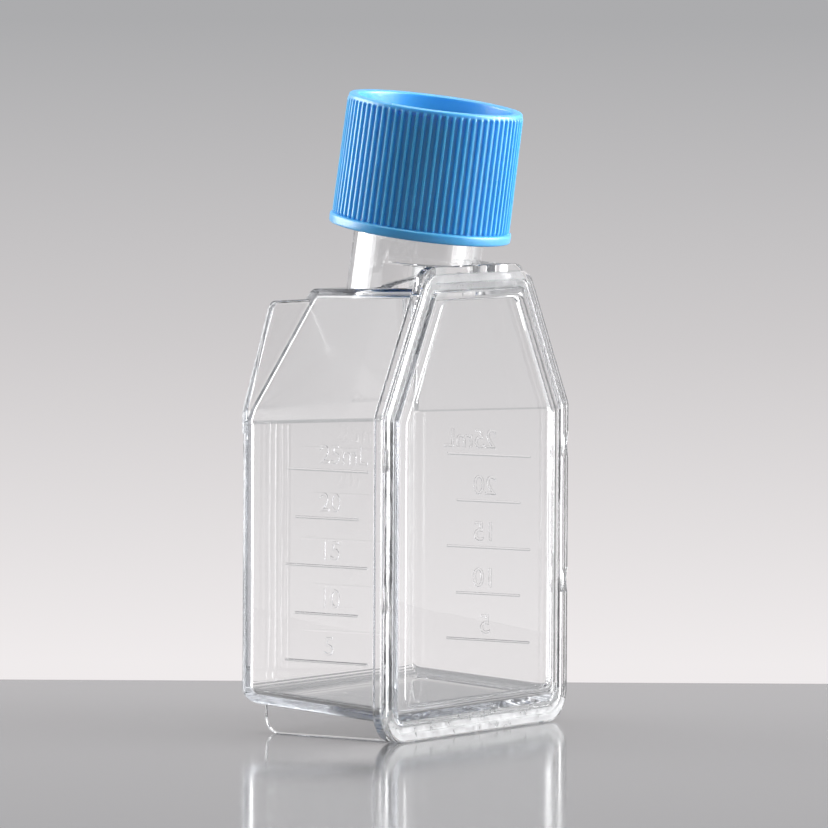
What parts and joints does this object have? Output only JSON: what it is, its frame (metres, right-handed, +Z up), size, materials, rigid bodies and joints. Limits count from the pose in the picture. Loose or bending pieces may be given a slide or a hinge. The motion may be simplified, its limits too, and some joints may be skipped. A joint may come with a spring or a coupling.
{
  "type": "cell culture flask",
  "caption": "Clear rectangular cell culture flask with a canted neck, a welded cover plate and a blue ribbed screw cap, standing on end.",
  "frame": {"origin": "bottom centre of the whole object's box, on the plane it stands on", "axes": "+Z up along the flask as it stands on its rear end, X across the wide faces, -Y out of the cover plate, +Y out of the growth wall; the neck leans toward -Y"},
  "size_m": [0.0494, 0.0324, 0.0954],
  "materials": {
    "clear_body": "clear, polished",
    "clear_cover": "clear, polished",
    "cap_blue": "satin moulded",
    "vent_white": "matt membrane"
  },
  "bodies": {
    "flask": {"flask_body": "clear_body", "cover_plate": "clear_cover"},
    "cap_travel": {"vent_disc": "vent_white"},
    "cap": {"cap_shell": "cap_blue"}
  },
  "joints": [
    {"name": "cap_lift", "type": "slide", "parent": "flask", "child": "cap_travel", "axis": [0, -0.1461, 0.9893], "range_m": [0, 0.008]},
    {"name": "cap_turn", "type": "hinge", "parent": "cap_travel", "child": "cap", "pos_m": [0, 0.00078, 0.066], "axis": [0, -0.1461, 0.9893], "range_deg": [0, 720]}
  ],
  "couplings": [
    {"joint": "cap_lift", "follows": "cap_turn", "m_per_rad": 0.00063662}
  ]
}
